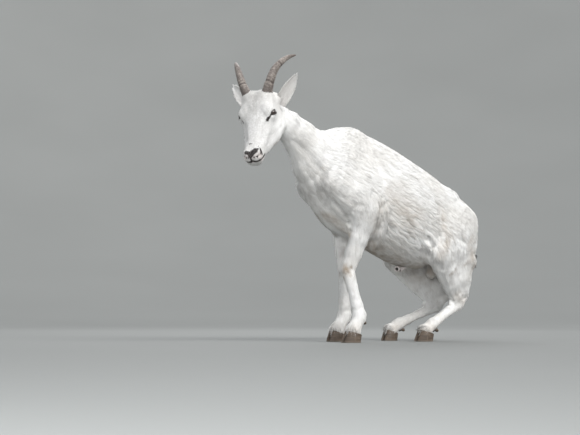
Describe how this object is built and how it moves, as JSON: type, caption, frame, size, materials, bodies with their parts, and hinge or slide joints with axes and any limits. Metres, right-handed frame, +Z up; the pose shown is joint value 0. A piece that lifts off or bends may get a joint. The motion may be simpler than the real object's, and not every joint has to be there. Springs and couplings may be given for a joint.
{
  "type": "dall sheep",
  "caption": "Young wild sheep with a short white coat and slender back-curving ringed horns, standing with its hindquarters gathered low, as a still life-size model.",
  "frame": {"origin": "on the floor, at the middle of the whole model seen from above", "axes": "+Z up, the animal faces -X, its left side is towards -Y"},
  "size_m": [1.1596, 0.3314, 1.0562],
  "materials": {
    "coat": "short dense hair, matte",
    "horn": "ringed horn, dull",
    "hoof": "worn horn, dull",
    "eye": "glossy",
    "bare_skin": "soft, thinly haired"
  },
  "bodies": {
    "root": {"dewclaw_fore_left_inner": "hoof", "dewclaw_fore_left_outer": "hoof", "dewclaw_fore_right_inner": "hoof", "dewclaw_fore_right_outer": "hoof", "dewclaw_hind_left_inner": "hoof", "dewclaw_hind_left_outer": "hoof", "dewclaw_hind_right_inner": "hoof", "dewclaw_hind_right_outer": "hoof", "ear_left": "coat", "ear_right": "coat", "eye_left": "eye", "eye_right": "eye", "foreleg_left_lower": "coat", "foreleg_left_upper": "coat", "foreleg_right_lower": "coat", "foreleg_right_upper": "coat", "head": "coat", "hindleg_left_gaskin": "coat", "hindleg_left_lower": "coat", "hindleg_left_thigh": "coat", "hindleg_right_gaskin": "coat", "hindleg_right_lower": "coat", "hindleg_right_thigh": "coat", "hoof_fore_left_inner": "hoof", "hoof_fore_left_outer": "hoof", "hoof_fore_right_inner": "hoof", "hoof_fore_right_outer": "hoof", "hoof_hind_left_inner": "hoof", "hoof_hind_left_outer": "hoof", "hoof_hind_right_inner": "hoof", "hoof_hind_right_outer": "hoof", "horn_left": "horn", "horn_right": "horn", "neck": "coat", "scrotum": "bare_skin", "sheath": "bare_skin", "tail": "coat", "torso": "coat"}
  },
  "joints": []
}
